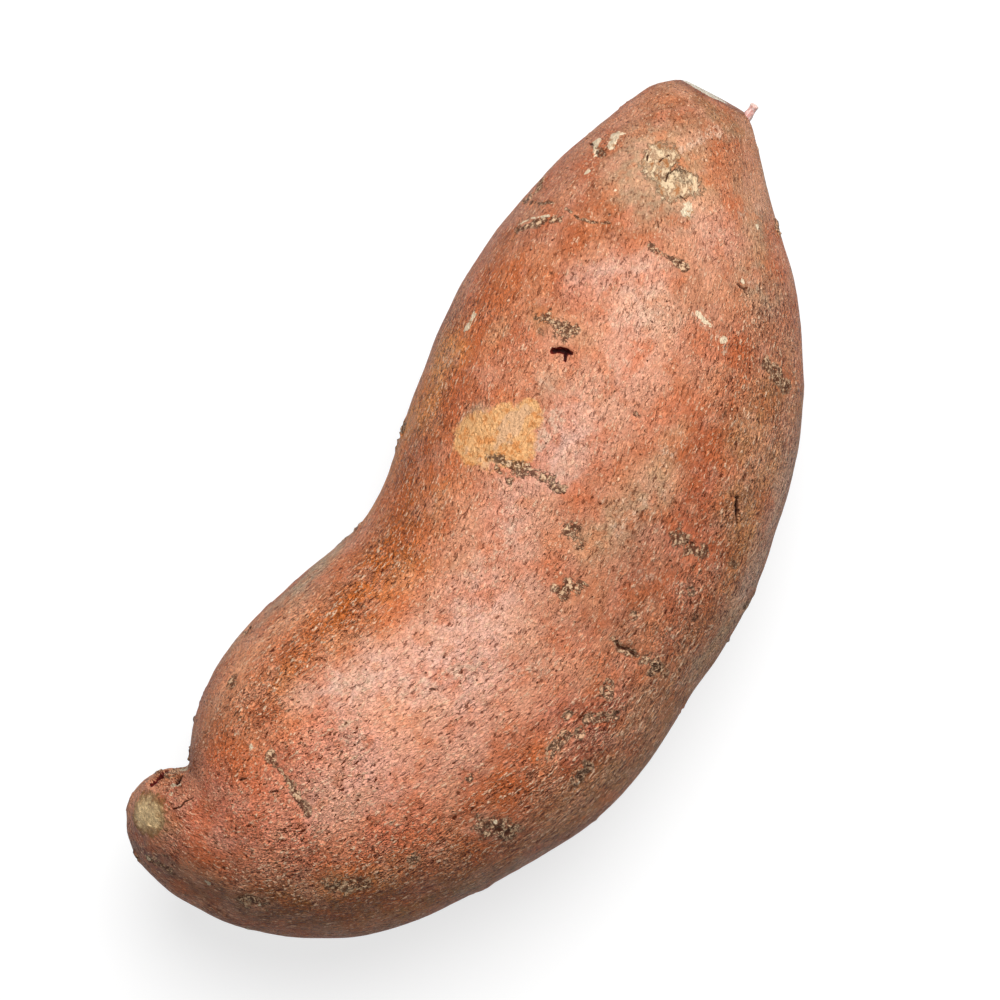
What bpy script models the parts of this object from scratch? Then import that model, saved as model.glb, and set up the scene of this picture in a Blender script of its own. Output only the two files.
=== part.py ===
"""Sweet potato: one storage root, lying on its side with its crook towards +Y.

The stem end points to +X, the hooked root end lies at -X, and the root rests on a
small flat spot. It is lofted: each station is an upright cross-section that spans
the root from its bulging side to its hollow side, and the skin runs smoothly
through all of them.
"""

import math

import bmesh
import bpy
import numpy as np

MM = 0.001  # part is in metres, sizes below are in millimetres

# Cross-sections from the cut stem end to the tip of the hooked root end.
# Each holds: bulging side x, y; hollow side x, y; lowest and highest z; and how far
# its highest and lowest points lean towards the hollow side, which brings the support
# under the centre of mass. The body is cut off at z = 0, so stations that reach below
# it make the flat spot.
STATIONS = (
    (81.0, 10.8, 80.2, 22.2, 21.8, 34.0, 0.0),
    (79.8, 8.6, 79.2, 24.0, 19.8, 36.4, 0.3),
    (75.8, 4.4, 75.8, 26.9, 16.0, 40.6, 1.0),
    (70.0, -1.9, 70.2, 29.1, 11.3, 44.9, 2.0),
    (62.0, -11.2, 62.2, 31.5, 6.5, 50.2, 3.5),
    (52.0, -19.3, 52.4, 33.8, 2.9, 54.3, 5.0),
    (40.0, -26.4, 40.4, 35.4, 0.9, 57.0, 5.5),
    (26.5, -31.6, 26.5, 34.9, 0.1, 57.6, 5.5),
    (12.0, -34.4, 11.0, 32.2, -0.3, 56.4, 5.5),
    (-2.0, -35.3, -4.0, 28.3, -0.5, 54.8, 5.0),
    (-16.5, -35.4, -15.0, 27.7, -0.4, 54.2, 4.0),
    (-31.0, -33.6, -26.0, 31.2, 0.1, 54.8, 3.0),
    (-44.5, -28.6, -37.0, 34.1, 1.2, 55.2, 2.5),
    (-56.5, -22.0, -47.0, 35.0, 3.2, 54.0, 2.5),
    (-67.0, -14.9, -55.0, 33.3, 6.3, 51.6, 3.0),
    (-75.8, -5.3, -60.2, 31.1, 10.2, 48.6, 4.0),
    (-81.0, 5.4, -63.0, 29.6, 14.0, 45.6, 4.5),
    (-83.0, 16.4, -64.8, 30.6, 17.2, 43.2, 4.0),
    (-82.2, 25.6, -66.8, 33.0, 20.2, 40.2, 2.5),
    (-79.4, 31.8, -69.4, 34.7, 23.6, 36.4, 1.0),
    (-76.2, 34.8, -72.0, 35.5, 27.4, 32.4, 0.0),
)
RINGS_PER_STATION = 4
SIDES = 40
STEM_CUT_TILT = math.radians(10)  # the knife leaned back, so the cut face looks slightly up

ROOTLET_START = (77.0, 11.4, 27.2)  # buried beside the stem cut
ROOTLET_END = (82.83, 9.8, 28.6)
ROOTLET_RADII = (0.95, 0.6)
ROOTLET_SIDES = 12

SKIN_COLOUR = (0.47, 0.20, 0.115, 1.0)
SKIN_ROUGHNESS = 0.6


def clear_scene():
    for obj in list(bpy.data.objects):
        bpy.data.objects.remove(obj, do_unlink=True)


def smooth_rows(rows, steps):
    """Catmull-Rom rows between the given ones, which it passes through."""
    rows = np.array(rows)
    ends = np.vstack((2 * rows[0] - rows[1], rows, 2 * rows[-1] - rows[-2]))
    result = []
    for before, start, end, after in zip(ends, ends[1:], ends[2:], ends[3:]):
        for t in np.arange(steps) / steps:
            slope = end - before
            bend = 2 * before - 5 * start + 4 * end - after
            twist = 3 * start - before - 3 * end + after
            result.append((2 * start + slope * t + bend * t**2 + twist * t**3) / 2)
    result.append(rows[-1])
    return result


def cross_section(station):
    """Points of one upright ring: an oval that leans towards the hollow side."""
    bulge, hollow = np.array(station[0:2]), np.array(station[2:4])
    low, high, lean = station[4:7]
    centre, half_width = (bulge + hollow) / 2, (hollow - bulge) / 2
    across = half_width / np.linalg.norm(half_width)
    mid, half_height = (low + high) / 2, (high - low) / 2
    points = []
    for angle in np.arange(SIDES) * math.tau / SIDES:
        rise = math.sin(angle)
        plan = centre + half_width * math.cos(angle) + across * lean * rise**2
        points.append((plan[0] * MM, plan[1] * MM, (mid + half_height * rise) * MM))
    return points


def tilt_stem_cut(verts, reach=4.0 * MM):
    """Leans the cut face back, fading out over a short reach behind it."""
    face_x = STATIONS[0][0] * MM
    middle = (STATIONS[0][4] + STATIONS[0][5]) / 2 * MM
    for vert in verts:
        nearness = max(0.0, 1 - (face_x - vert.co.x) / reach)
        vert.co.x -= (vert.co.z - middle) * math.tan(STEM_CUT_TILT) * nearness


def skin_material():
    material = bpy.data.materials.new("skin")
    material.use_nodes = True
    shader = material.node_tree.nodes["Principled BSDF"]
    shader.inputs["Base Color"].default_value = SKIN_COLOUR
    shader.inputs["Roughness"].default_value = SKIN_ROUGHNESS
    shader.inputs["Metallic"].default_value = 0.0
    return material


def flatten_rest_spot(mesh):
    """Cuts the underside off at z = 0 and closes it with one flat face."""
    everything = mesh.verts[:] + mesh.edges[:] + mesh.faces[:]
    cut = bmesh.ops.bisect_plane(
        mesh, geom=everything, plane_co=(0, 0, 0), plane_no=(0, 0, 1), clear_inner=True
    )
    rim = [item for item in cut["geom_cut"] if isinstance(item, bmesh.types.BMEdge)]
    bmesh.ops.edgeloop_fill(mesh, edges=rim)


def make_body():
    mesh = bmesh.new()
    rings = []
    for station in smooth_rows(STATIONS, RINGS_PER_STATION):
        rings.append([mesh.verts.new(point) for point in cross_section(station)])
    for ring, following in zip(rings, rings[1:]):
        for side in range(SIDES):
            after = (side + 1) % SIDES
            mesh.faces.new((ring[side], ring[after], following[after], following[side]))
    mesh.faces.new(reversed(rings[0]))
    mesh.faces.new(rings[-1])
    tilt_stem_cut(mesh.verts)
    flatten_rest_spot(mesh)
    bmesh.ops.recalc_face_normals(mesh, faces=mesh.faces)
    data = bpy.data.meshes.new("sweet_potato")
    mesh.to_mesh(data)
    mesh.free()
    data.materials.append(skin_material())
    data.shade_smooth()
    body = bpy.data.objects.new("sweet_potato", data)
    bpy.context.collection.objects.link(body)
    return body


def make_rootlet():
    """The stub of a hair root beside the stem cut, as a tapered rod."""
    start, end = np.array(ROOTLET_START) * MM, np.array(ROOTLET_END) * MM
    run = end - start
    bpy.ops.mesh.primitive_cone_add(
        vertices=ROOTLET_SIDES,
        radius1=ROOTLET_RADII[0] * MM,
        radius2=ROOTLET_RADII[1] * MM,
        depth=float(np.linalg.norm(run)),
        location=(start + end) / 2,
        rotation=(0, math.acos(run[2] / np.linalg.norm(run)), math.atan2(run[1], run[0])),
    )
    rootlet = bpy.context.object
    rootlet.name = "rootlet_shape"
    rootlet.hide_render = True
    rootlet.display_type = "WIRE"
    return rootlet


def grow_rootlet(body, rootlet):
    union = body.modifiers.new("rootlet", "BOOLEAN")
    union.operation = "UNION"
    union.solver = "EXACT"
    union.object = rootlet


clear_scene()
sweet_potato = make_body()
grow_rootlet(sweet_potato, make_rootlet())
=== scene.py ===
"""Looks of the sweet potato: its skin, scars and hair root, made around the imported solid."""

import math

import bmesh
import bpy
import numpy as np
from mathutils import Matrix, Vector, noise
from mathutils.bvhtree import BVHTree


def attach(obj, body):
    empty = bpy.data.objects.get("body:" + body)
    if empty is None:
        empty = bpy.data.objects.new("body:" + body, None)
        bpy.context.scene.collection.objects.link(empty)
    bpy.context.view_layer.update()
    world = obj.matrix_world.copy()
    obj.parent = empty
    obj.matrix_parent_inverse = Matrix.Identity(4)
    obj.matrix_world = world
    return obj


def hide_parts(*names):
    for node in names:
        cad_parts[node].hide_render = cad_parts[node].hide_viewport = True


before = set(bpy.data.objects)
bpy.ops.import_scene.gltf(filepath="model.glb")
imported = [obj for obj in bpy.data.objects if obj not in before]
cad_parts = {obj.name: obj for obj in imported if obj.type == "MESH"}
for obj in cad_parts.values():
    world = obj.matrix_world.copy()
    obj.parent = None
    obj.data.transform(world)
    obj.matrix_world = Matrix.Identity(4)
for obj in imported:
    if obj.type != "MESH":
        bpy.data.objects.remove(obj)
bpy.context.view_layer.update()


# ---------------------------------------------------------------------------------------
# Body: one storage root that swelled in the soil, fat in the middle, drawn in to a cut
# stem end and to a hooked root end with a blunt scar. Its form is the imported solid's own
# cross-sections, drawn much finer. Lengths are in millimetres until the mesh is made.
# ---------------------------------------------------------------------------------------

MM = 0.001
CHANCE = np.random.default_rng(57)

# Bulging side x, y; hollow side x, y; lowest and highest z; lean towards the hollow side.
STATIONS = (
    (81.0, 10.8, 80.2, 22.2, 21.8, 34.0, 0.0),
    (79.8, 8.6, 79.2, 24.0, 19.8, 36.4, 0.3),
    (75.8, 4.4, 75.8, 26.9, 16.0, 40.6, 1.0),
    (70.0, -1.9, 70.2, 29.1, 11.3, 44.9, 2.0),
    (62.0, -11.2, 62.2, 31.5, 6.5, 50.2, 3.5),
    (52.0, -19.3, 52.4, 33.8, 2.9, 54.3, 5.0),
    (40.0, -26.4, 40.4, 35.4, 0.9, 57.0, 5.5),
    (26.5, -31.6, 26.5, 34.9, 0.1, 57.6, 5.5),
    (12.0, -34.4, 11.0, 32.2, -0.3, 56.4, 5.5),
    (-2.0, -35.3, -4.0, 28.3, -0.5, 54.8, 5.0),
    (-16.5, -35.4, -15.0, 27.7, -0.4, 54.2, 4.0),
    (-31.0, -33.6, -26.0, 31.2, 0.1, 54.8, 3.0),
    (-44.5, -28.6, -37.0, 34.1, 1.2, 55.2, 2.5),
    (-56.5, -22.0, -47.0, 35.0, 3.2, 54.0, 2.5),
    (-67.0, -14.9, -55.0, 33.3, 6.3, 51.6, 3.0),
    (-75.8, -5.3, -60.2, 31.1, 10.2, 48.6, 4.0),
    (-81.0, 5.4, -63.0, 29.6, 14.0, 45.6, 4.5),
    (-83.0, 16.4, -64.8, 30.6, 17.2, 43.2, 4.0),
    (-82.2, 25.6, -66.8, 33.0, 20.2, 40.2, 2.5),
    (-79.4, 31.8, -69.4, 34.7, 23.6, 36.4, 1.0),
    (-76.2, 34.8, -72.0, 35.5, 27.4, 32.4, 0.0),
)
STEPS_PER_STATION = 30
RINGS = 250
SIDES = 270
TOP_CROWDING = 0.22  # draws the sides of each ring closer together on the upper skin
STEM_CUT_TILT = math.radians(7.8)
STEM_CUT_REACH = 4.0
STEM_FACE_RINGS = (0.08, 0.2, 0.33, 0.46, 0.6, 0.73, 0.86, 0.96)
TAIL_DOME = 0.45
TAIL_DOME_RINGS = 5
TAIL_TIP_STEP = 0.4  # how far short of its pole the last ring of the dome stops, in steps


def smooth_rows(rows, steps):
    """Catmull-Rom rows between the given ones, which it passes through."""
    rows = np.array(rows)
    ends = np.vstack((2 * rows[0] - rows[1], rows, 2 * rows[-1] - rows[-2]))
    result = []
    for before, start, end, after in zip(ends, ends[1:], ends[2:], ends[3:]):
        for t in np.arange(steps) / steps:
            slope = end - before
            bend = 2 * before - 5 * start + 4 * end - after
            twist = 3 * start - before - 3 * end + after
            result.append((2 * start + slope * t + bend * t**2 + twist * t**3) / 2)
    result.append(rows[-1])
    return np.array(result)


def lengths(vectors):
    return np.linalg.norm(vectors, axis=-1)


def running_total(points):
    """Distance along a run of points, from its first."""
    return np.concatenate(([0.0], np.cumsum(lengths(np.diff(points, axis=0)))))


def even_rows(rows, count):
    """The same run of cross-sections, evenly spaced on the bulging side and the middle."""
    middle = (rows[:, 0:2] + rows[:, 2:4]) / 2
    along = running_total(rows[:, 0:2]) + running_total(middle)
    places = np.linspace(0, along[-1], count)
    return np.stack([np.interp(places, along, column) for column in rows.T], axis=1)


def body_rings(rows):
    """The skin's points as rings x sides x 3, and for each its place along the grain:
    distance along the body, and sideways and upwards from the middle of its ring."""
    bulge, hollow = rows[:, 0:2], rows[:, 2:4]
    low, high, lean = rows[:, 4:5], rows[:, 5:6], rows[:, 6:7]
    centre, half_width = (bulge + hollow) / 2, (hollow - bulge) / 2
    half_height, middle = (high - low) / 2, (high + low) / 2
    across = half_width / lengths(half_width)[:, None]
    turn = np.arange(SIDES) * math.tau / SIDES
    angle = turn + TOP_CROWDING * np.cos(turn)
    rise, reach = np.sin(angle), np.cos(angle)
    sideways = lengths(half_width)[:, None] * reach + lean * rise**2
    upwards = half_height * rise
    plan = centre[:, None] + across[:, None] * sideways[:, :, None]
    points = np.dstack((plan, middle + upwards))
    along = np.repeat(running_total(centre)[:, None], SIDES, axis=1)
    return points, np.dstack((along, sideways, upwards))


def tilt_stem_cut(points):
    """Leans the cut face back as the knife did, fading out over a short reach behind it."""
    face_x = STATIONS[0][0]
    middle = (STATIONS[0][4] + STATIONS[0][5]) / 2
    nearness = np.clip(1 - (face_x - points[..., 0]) / STEM_CUT_REACH, 0, 1)
    points[..., 0] -= (points[..., 2] - middle) * math.tan(STEM_CUT_TILT) * nearness


def close_ends(points, grain):
    """Adds rings that run in to the middle of the flat stem cut and over the round tail."""
    stem, tail = points[0], points[-1]
    stem_middle, tail_middle = stem.mean(axis=0), tail.mean(axis=0)
    tail_way = tail_middle - points[-4].mean(axis=0)
    tail_way /= lengths(tail_way)
    face = [stem_middle + (stem - stem_middle) * scale for scale in STEM_FACE_RINGS]
    dome = []
    for step in range(1, TAIL_DOME_RINGS + 1):
        turn = step / (TAIL_DOME_RINGS + TAIL_TIP_STEP) * math.pi / 2
        ring = tail_middle + (tail - tail_middle) * math.cos(turn)
        dome.append(ring + tail_way * TAIL_DOME * math.sin(turn))
    stem_grain = [grain[0] * (1, scale, scale) for scale in STEM_FACE_RINGS]
    tail_grain = [grain[-1]] * TAIL_DOME_RINGS
    every_point = np.concatenate((face, points, dome))
    every_grain = np.concatenate((stem_grain, grain, tail_grain))
    return every_point, every_grain


def woven(rings):
    """A bmesh of quads through the rings, closed at both ends."""
    mesh = bmesh.new()
    grid = [[mesh.verts.new(point) for point in ring] for ring in rings]
    for ring, following in zip(grid, grid[1:]):
        for side in range(SIDES):
            after = (side + 1) % SIDES
            mesh.faces.new((ring[side], ring[after], following[after], following[side]))
    for end in (grid[0], grid[-1]):
        pole = mesh.verts.new(sum((vert.co for vert in end), Vector()) / SIDES)
        for side in range(SIDES):
            mesh.faces.new((end[side], end[(side + 1) % SIDES], pole))
    bmesh.ops.recalc_face_normals(mesh, faces=mesh.faces)
    return mesh


rings, grain = body_rings(even_rows(smooth_rows(STATIONS, STEPS_PER_STATION), RINGS))
tilt_stem_cut(rings)
rings, grain = close_ends(rings, grain)
rings[..., 2] = np.maximum(rings[..., 2], 0)
grain_at_ends = grain[[0, -1]].mean(axis=1)
base = woven(rings)
grain_layer = base.verts.layers.float_vector.new("grain")
for vert, value in zip(base.verts, np.vstack((grain.reshape(-1, 3), grain_at_ends))):
    vert[grain_layer] = value

# Scars, cracks and flecks of the skin. Each is a width and a run of points on a plan at
# mid height, seen from a point straight above the body, and is laid down on the skin.
PLAN_HEIGHT = 28.0
SEEN_FROM = Vector((3.2, 9.9, 928.0))
SCABS = (
    (2.4, (8.3, 15.2), (9.3, 13.0), (9.5, 10.0), (10.0, 8.0), (10.3, 5.0), (10.3, 2.0)),
    (1.2, (7.5, 13.5), (6.5, 10.0)),
    (2.1, (-54.5, 19.0), (-55.7, 16.0), (-57.4, 12.0), (-58.8, 8.5)),
    (4.4, (33.2, 19.5), (33.4, 16.0)),
    (4.0, (5.0, -2.8), (5.0, -4.2)),
    (3.6, (-4.0, -7.2), (-2.8, -8.3), (-1.6, -9.6)),
    (5.8, (-44.6, -18.0), (-43.6, -20.0), (-43.2, -22.4)),
    (1.6, (-6.0, -19.0), (-6.6, -21.5), (-6.3, -24.5)),
    (3.8, (-6.3, -25.5), (-6.0, -29.0)),
    (5.4, (-67.0, -2.0), (-65.0, -5.0)),
    (1.6, (53.3, 11.8), (53.5, 7.5), (53.6, 4.6)),
    (1.8, (62.0, 29.2), (62.6, 28.2), (62.0, 27.0)),
    (3.6, (14.8, -18.4), (14.5, -20.6)),
    (4.0, (14.0, -22.2), (14.2, -24.0)),
    (1.9, (4.1, -28.8), (4.4, -28.9)),
    (2.0, (15.8, -29.0), (16.0, -30.0)),
    (3.4, (47.0, -15.5), (46.0, -20.0)),
    (4.0, (-77.5, 9.0), (-76.4, 6.8)),
    (2.8, (-28.8, -27.1), (-26.6, -27.0)),
    (3.0, (-47.5, 31.5), (-47.0, 31.2)),
    (2.2, (43.3, 32.2), (45.5, 30.8), (47.0, 29.4), (48.7, 27.0)),
    (1.1, (48.7, 33.0), (49.3, 31.3), (50.3, 30.0)),
    (0.8, (50.8, 27.5), (50.6, 24.5), (51.5, 22.0), (52.8, 20.0)),
    (1.4, (28.0, -1.4), (28.0, -2.3)),
    (1.6, (-79.2, 25.2), (-78.7, 24.6)),
    (2.4, (-81.0, 27.0), (-80.6, 23.0)),
)
RINGED_SCARS = (
    (2.2, (-28.3, -20.7), (-26.4, -21.3), (-24.5, -21.5)),
    (1.8, (-21.3, -19.9)),
    (1.9, (-22.7, -23.3)),
    (1.9, (-19.7, -23.1), (-18.6, -25.0), (-17.0, -26.5)),
    (2.6, (-29.4, -27.0), (-27.0, -27.2)),
    (2.2, (-14.6, -23.6), (-12.9, -22.9)),
    (2.9, (-6.2, -27.8)),
    (2.0, (-0.8, -20.0)),
    (2.0, (-55.8, -11.3)),
    (1.8, (-39.2, -11.5)),
    (1.8, (8.0, -26.0)),
    (3.0, (66.5, 14.0)),
)
SLITS = (
    (1.1, (22.0, -26.2), (23.5, -25.2), (25.5, -23.8)),
    (0.7, (-5.8, -19.4), (-6.8, -21.0), (-6.2, -22.6), (-6.6, -24.6)),
    (0.9, (56.2, -4.3), (55.8, -5.9)),
    (0.9, (61.0, 28.5), (62.0, 28.0), (63.0, 27.2)),
    (0.7, (-30.3, 2.4), (-29.9, 1.8), (-29.7, 1.2)),
    (0.5, (68.6, 20.0), (69.1, 18.8)), (0.4, (66.0, 20.8), (65.1, 20.3)),
    (0.4, (66.0, 18.5), (67.0, 18.3), (68.0, 17.7)),
    (0.5, (63.2, 12.3), (63.2, 11.0)),
    (0.7, (14.5, -21.0), (15.3, -22.5)),
    (0.5, (-71.2, 28.0), (-70.2, 27.2), (-69.0, 27.2), (-67.7, 26.5)),
    (0.5, (-60.9, 21.2), (-59.9, 20.2)),
    (0.4, (-60.0, 15.9), (-58.8, 14.6)),
    (0.5, (62.4, 30.0), (62.2, 28.6), (61.2, 27.6)),
    (0.4, (64.0, 15.8), (65.4, 16.2), (66.8, 15.4)),
)
HOLES = (
    (1.05, (29.4, 16.2), (30.2, 15.2), (30.6, 14.2)), (0.7, (30.6, 14.2), (30.8, 13.2)),
    (0.5, (30.2, 14.2), (29.5, 13.8), (29.0, 13.5)),
    (1.9, (-69.2, 33.3), (-68.2, 32.9)), (1.4, (-68.2, 32.9), (-66.2, 32.1)),
)
PITS = (
    (1.0, (-36.2, 10.0)), (1.2, (-37.0, 11.6)), (0.9, (-39.3, 5.2)), (0.9, (-24.5, 3.4)),
    (0.8, (-23.0, 3.4)), (0.9, (-21.5, 3.4)), (0.7, (-23.0, 4.8)), (1.0, (-19.4, 6.5)),
    (0.9, (-12.5, 4.9)), (0.8, (-5.3, 4.7)), (1.0, (22.0, 20.0)), (1.0, (40.3, 23.7)),
    (0.8, (3.4, 6.6)), (0.9, (1.3, 0.3)), (0.8, (8.4, 7.2)), (0.8, (8.7, 5.6)),
    (0.8, (34.3, 4.4)), (0.8, (42.7, 4.8)), (1.1, (11.7, 8.3)), (1.3, (27.3, 25.8)),
    (0.8, (25.3, 24.6)), (1.2, (-75.0, 15.2)), (1.0, (-58.2, -13.5)), (1.3, (-64.3, -16.8)),
    (1.0, (16.2, -5.8)), (0.9, (17.8, -8.0)), (0.9, (18.5, -10.5)), (0.9, (15.3, -12.3)),
    (0.8, (10.8, -11.8)), (1.1, (73.8, 25.6)), (0.9, (74.8, 26.3)), (1.1, (62.2, 16.5)),
    (1.1, (18.5, -24.3)), (1.0, (18.7, -27.8)), (1.0, (9.8, -31.5)), (1.1, (12.5, -32.0)),
    (0.7, (-63.0, 29.0)), (0.9, (76.5, 16.5)), (0.9, (76.7, 23.5)), (1.0, (55.5, -6.1)),
    (1.9, (-44.6, -18.6)), (2.2, (-43.9, -20.4)), (1.7, (-43.4, -22.0)),
    (0.8, (73.4, 16.9)), (0.7, (58.5, 13.9)), (0.9, (57.6, 13.2)), (0.7, (57.0, 12.6)),
    (0.6, (57.4, 14.2)), (0.7, (56.5, 13.4)), (0.7, (58.3, 12.8)), (0.7, (54.0, 12.4)),
    (0.7, (53.8, 8.2)), (0.7, (53.9, 6.2)), (0.8, (53.4, 4.4)), (0.7, (-66.5, 30.6)),
    (0.7, (-68.4, 28.6)), (0.6, (-66.8, 29.2)), (0.7, (-65.2, 31.2)), (0.6, (-69.4, 31.4)),
)
FLECKS = (
    (2.0, (63.9, 26.9), (65.2, 27.0)), (2.6, (65.7, 27.2)), (1.7, (62.9, 29.2), (61.4, 28.2)),
    (0.6, (44.2, 32.8), (46.2, 31.4), (48.2, 29.0)), (1.8, (62.6, 10.2), (61.4, 9.8)),
    (1.0, (58.0, 27.7)), (1.0, (-67.0, 29.6)),
    (0.9, (58.0, 22.1)), (1.4, (24.3, 30.5), (27.2, 30.6)),
    (0.9, (-55.0, 22.5)), (1.5, (-79.0, 16.2)), (0.9, (-43.2, -19.2)), (1.0, (-29.7, -27.4)),
    (1.1, (48.1, -1.2), (47.6, -4.0)), (1.4, (46.7, -7.3)), (1.1, (56.8, -4.6)),
    (1.1, (-17.3, -34.4)), (1.0, (-5.0, -34.0)), (1.1, (-81.0, 27.0)), (1.0, (-77.0, 6.7)),
    (1.1, (62.7, 10.3)), (1.0, (66.0, -1.5)), (1.2, (-67.6, 30.3)), (0.9, (-69.2, 29.8)),
)
CRUSTS = (
    (6.4, (65.4, 18.6), (67.4, 18.8)),
    (5.4, (63.4, 14.5), (65.8, 12.6)),
)
STAINS = (
    (9.6, (9.9, 18.6), (12.4, 14.6)),
    (5.2, (14.0, 14.4), (18.0, 13.6)),
    (3.6, (14.6, 18.0), (16.0, 17.2)),
)
CALLUSES = (
    (8.2, (-74.9, 32.2), (-74.3, 30.8)),
)


# Where random marks may lie: how far up the skin may face and how low it may be, and how
# many rings they keep clear of the stem cut, of the tail and, where they slant, of both.
MOST_UPWARD = 0.25
LOWEST_MARK = 0.5
STEM_MARGIN = 6
TAIL_MARGIN = 12
RUN_MARGIN = 8


def on_skin(plan_point):
    """The point of the skin that a plan point covers, seen from above."""
    target = Vector((*plan_point, PLAN_HEIGHT))
    hit = skin_tree.ray_cast(SEEN_FROM, target - SEEN_FROM)[0]
    return np.array(hit or skin_tree.find_nearest(target)[0])


def lay_down(marks, longest_step=1.5):
    """The marks as widths and runs of skin points, with no step longer than the given."""
    laid = []
    for width, *corners in marks:
        run = [corners[0]]
        for start, end in zip(corners, corners[1:]):
            steps = max(1, round(math.dist(start, end) / longest_step))
            run.extend(np.linspace(start, end, steps + 1)[1:])
        laid.append((width, np.array([on_skin(place) for place in run])))
    return laid


def strewn(count, widths, spans):
    """Marks at random on the sides and underside, each running across the grain."""
    laid = []
    while len(laid) < count:
        ring = CHANCE.integers(len(STEM_FACE_RINGS) + STEM_MARGIN, len(rings) - TAIL_MARGIN)
        side = CHANCE.integers(SIDES)
        width, span = CHANCE.uniform(*widths), CHANCE.uniform(*spans)
        slant = CHANCE.uniform(-0.5, 0.5)
        facing = skin_tree.find_nearest(Vector(rings[ring, side]))[1].z
        if facing > MOST_UPWARD or rings[ring, side, 2] < LOWEST_MARK:
            continue
        spacing = lengths(rings[ring, side] - rings[ring, side - 1])
        count_across = max(1, round(span / spacing))
        run = []
        for step in range(0, count_across + 1, 2):
            row = np.clip(ring + round(slant * step), RUN_MARGIN, len(rings) - RUN_MARGIN)
            run.append(rings[row, (side + step) % SIDES])
        laid.append((width, np.array(run)))
    return laid


skin_tree = BVHTree.FromBMesh(base)
scabs = lay_down(SCABS) + strewn(26, (1.2, 3.4), (1.0, 8.0))
ringed_scars = lay_down(RINGED_SCARS) + strewn(22, (1.6, 2.6), (0.0, 2.0))
slits = lay_down(SLITS) + strewn(14, (0.6, 1.2), (2.0, 6.0))
holes = lay_down(HOLES)
pits = lay_down(PITS) + strewn(120, (0.7, 1.3), (0.0, 0.6))
flecks = lay_down(FLECKS) + strewn(16, (0.8, 1.6), (0.0, 2.0))
crusts = lay_down(CRUSTS)
stains = lay_down(STAINS)
calluses = lay_down(CALLUSES)


def distance_from(points, run):
    """How far each point is from a run of skin points."""
    best = lengths(points - run[0])
    for start, end in zip(run, run[1:]):
        way = end - start
        share = np.clip((points - start) @ way / max(way @ way, 1e-9), 0, 1)
        best = np.minimum(best, lengths(points - start - share[:, None] * way))
    return best


def near(points, run, reach):
    """The numbers of the points in the box round a run, widened by reach."""
    inside = (points > run.min(axis=0) - reach).all(axis=1)
    inside &= (points < run.max(axis=0) + reach).all(axis=1)
    return np.flatnonzero(inside)


def refine_round_marks(mesh, marks, margin):
    """Halves the quads under the marks, so that their relief has points to stand on."""
    points = np.array([vert.co for vert in mesh.verts])
    marked = np.zeros(len(points), bool)
    for width, run in marks:
        close = near(points, run, width / 2 + margin)
        marked[close[distance_from(points[close], run) < width / 2 + margin]] = True
    mesh.verts.index_update()
    edges = [edge for edge in mesh.edges if all(marked[vert.index] for vert in edge.verts)]
    bmesh.ops.subdivide_edges(mesh, edges=edges, cuts=1, use_grid_fill=True)


def read_vectors(data, name):
    values = np.empty(count * 3, np.float32)
    data.foreach_get(name, values)
    return values.reshape(-1, 3).astype(float)


raised = scabs + ringed_scars + slits + holes + flecks + crusts + calluses
refine_round_marks(base, raised, margin=0.4)
shape = bpy.data.meshes.new("skin_and_flesh")
base.to_mesh(shape)
base.free()
count = len(shape.vertices)
points = read_vectors(shape.vertices, "co")
normals = read_vectors(shape.vertices, "normal")
grain = read_vectors(shape.attributes["grain"].data, "vector")


def wander(places, size, seed=0.0):
    """Smooth noise between about -1 and 1, with swells of the given size."""
    return np.array([noise.noise(place) for place in places / size + seed])


def hump(distance, reach):
    """1 at no distance, falling smoothly to 0 at reach."""
    share = np.clip(1 - distance / reach, 0, 1)
    return share * share * (3 - 2 * share)


UNTOUCHED = 9.0  # the gap, in widths, of skin that no mark is near
ragged = wander(points, 2.6) + 0.7 * wander(points, 1.2, 7.0)
crumbs = wander(points, 1.0, 3.0)


def measured(marks, raggedness):
    """How far each point is from the nearest mark, in widths of it, and that width."""
    gaps, widths = np.full(count, UNTOUCHED), np.ones(count)
    for width, run in marks:
        close = near(points, run, 1.6 * width)
        gap = distance_from(points[close], run) / width + raggedness * ragged[close]
        nearer = gap < gaps[close]
        gaps[close[nearer]] = gap[nearer]
        widths[close[nearer]] = width
    return gaps, widths


# Every kind of mark, and how ragged its edge is.
marked, widths = {}, {}
for name, marks, raggedness in (
    ("scab", scabs, 0.36),
    ("ring", ringed_scars, 0.3),
    ("slit", slits, 0.25),
    ("hole", holes, 0.2),
    ("pit", pits, 0.2),
    ("fleck", flecks, 0.35),
    ("crust", crusts, 0.2),
    ("stain", stains, 0.14),
    ("callus", calluses, 0.08),
):
    marked[name], widths[name] = measured(marks, raggedness)


def mound(name, reach):
    """1 in the middle of a kind of mark, falling smoothly to 0 at reach, in widths."""
    return hump(marked[name], reach)


def lip_round(name, middle, reach):
    """1 along a line round a kind of mark, falling smoothly to 0 on both sides of it."""
    return hump(np.abs(marked[name] - middle), reach)


# Scabs of cork: low crumbly ridges that the skin grew over old splits.
heart = mound("scab", 0.75)
relief = 0.16 * np.sqrt(heart) + 0.3 * heart * crumbs

# Ringed scars: what is left of side roots, a broken lip round a small shallow button.
broken = 0.6 + 0.9 * crumbs
relief += broken * (0.45 * lip_round("ring", 0.38, 0.2) + 0.2 * mound("ring", 0.2))
relief -= 0.2 * lip_round("ring", 0.58, 0.14)

# Slits: dry splits with raised lips. Holes: bites of a soil grub, as deep as wide.
relief += widths["slit"] * (0.16 * lip_round("slit", 0.72, 0.4) - 0.7 * mound("slit", 0.5))
relief += widths["hole"] * (0.16 * lip_round("hole", 0.8, 0.4) - 1.3 * mound("hole", 0.6))

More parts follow.
